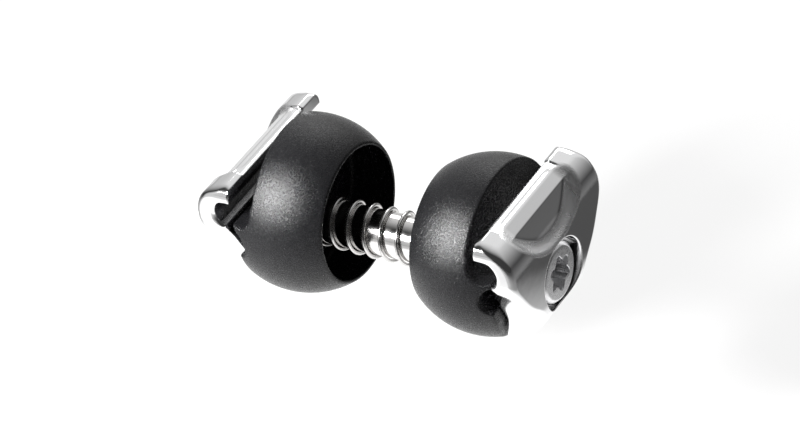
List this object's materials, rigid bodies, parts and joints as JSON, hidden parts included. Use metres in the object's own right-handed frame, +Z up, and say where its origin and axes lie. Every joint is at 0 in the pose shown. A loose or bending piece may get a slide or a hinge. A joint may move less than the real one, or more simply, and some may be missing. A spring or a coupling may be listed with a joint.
{
  "type": "saddle rail clamp set",
  "caption": "Bicycle seatpost clamp set: polished outer clamps and black hollow dome cradles grip the saddle rails, drawn together by a cross bolt in a barrel nut with a spring between.",
  "frame": {"origin": "on the bolt axis, midway between the mouths of the two dome cradles", "axes": "+X along the cross bolt towards its head, +Y along the saddle rails, +Z up, towards the rails"},
  "size_m": [0.0722, 0.0364, 0.0374],
  "materials": {
    "polished_alloy": "mirror polished forging",
    "black_coat": "satin black coat with a fine grain",
    "bolt_steel": "smooth bright steel",
    "polished_steel": "polished steel",
    "spring_steel": "bright drawn wire"
  },
  "bodies": {
    "left_cradle": {"left_dome_cradle": "black_coat", "spring": "spring_steel"},
    "right_cradle": {"right_dome_cradle": "black_coat"},
    "left_clamp": {"left_outer_clamp": "polished_alloy", "barrel_nut": "polished_steel"},
    "right_clamp": {"right_outer_clamp": "polished_alloy"},
    "bolt": {"clamp_bolt": "bolt_steel"}
  },
  "joints": [
    {"name": "clamp_close", "type": "slide", "parent": "left_cradle", "child": "right_cradle", "axis": [-1, 0, 0], "range_m": [0, 0.0124], "deforming": ["spring"]},
    {"name": "left_clamp_open", "type": "slide", "parent": "left_cradle", "child": "left_clamp", "axis": [-1, 0, 0], "range_m": [0, 0.004]},
    {"name": "right_clamp_open", "type": "slide", "parent": "right_cradle", "child": "right_clamp", "axis": [1, 0, 0], "range_m": [0, 0.004]},
    {"name": "bolt_turn", "type": "hinge", "parent": "right_clamp", "child": "bolt", "pos_m": [0.0353, 0, 0], "axis": [-1, 0, 0], "range_deg": [0, 4464]}
  ],
  "couplings": [
    {"joint": "bolt_turn", "follows": "clamp_close", "rad_per_m": 6283.2}
  ]
}
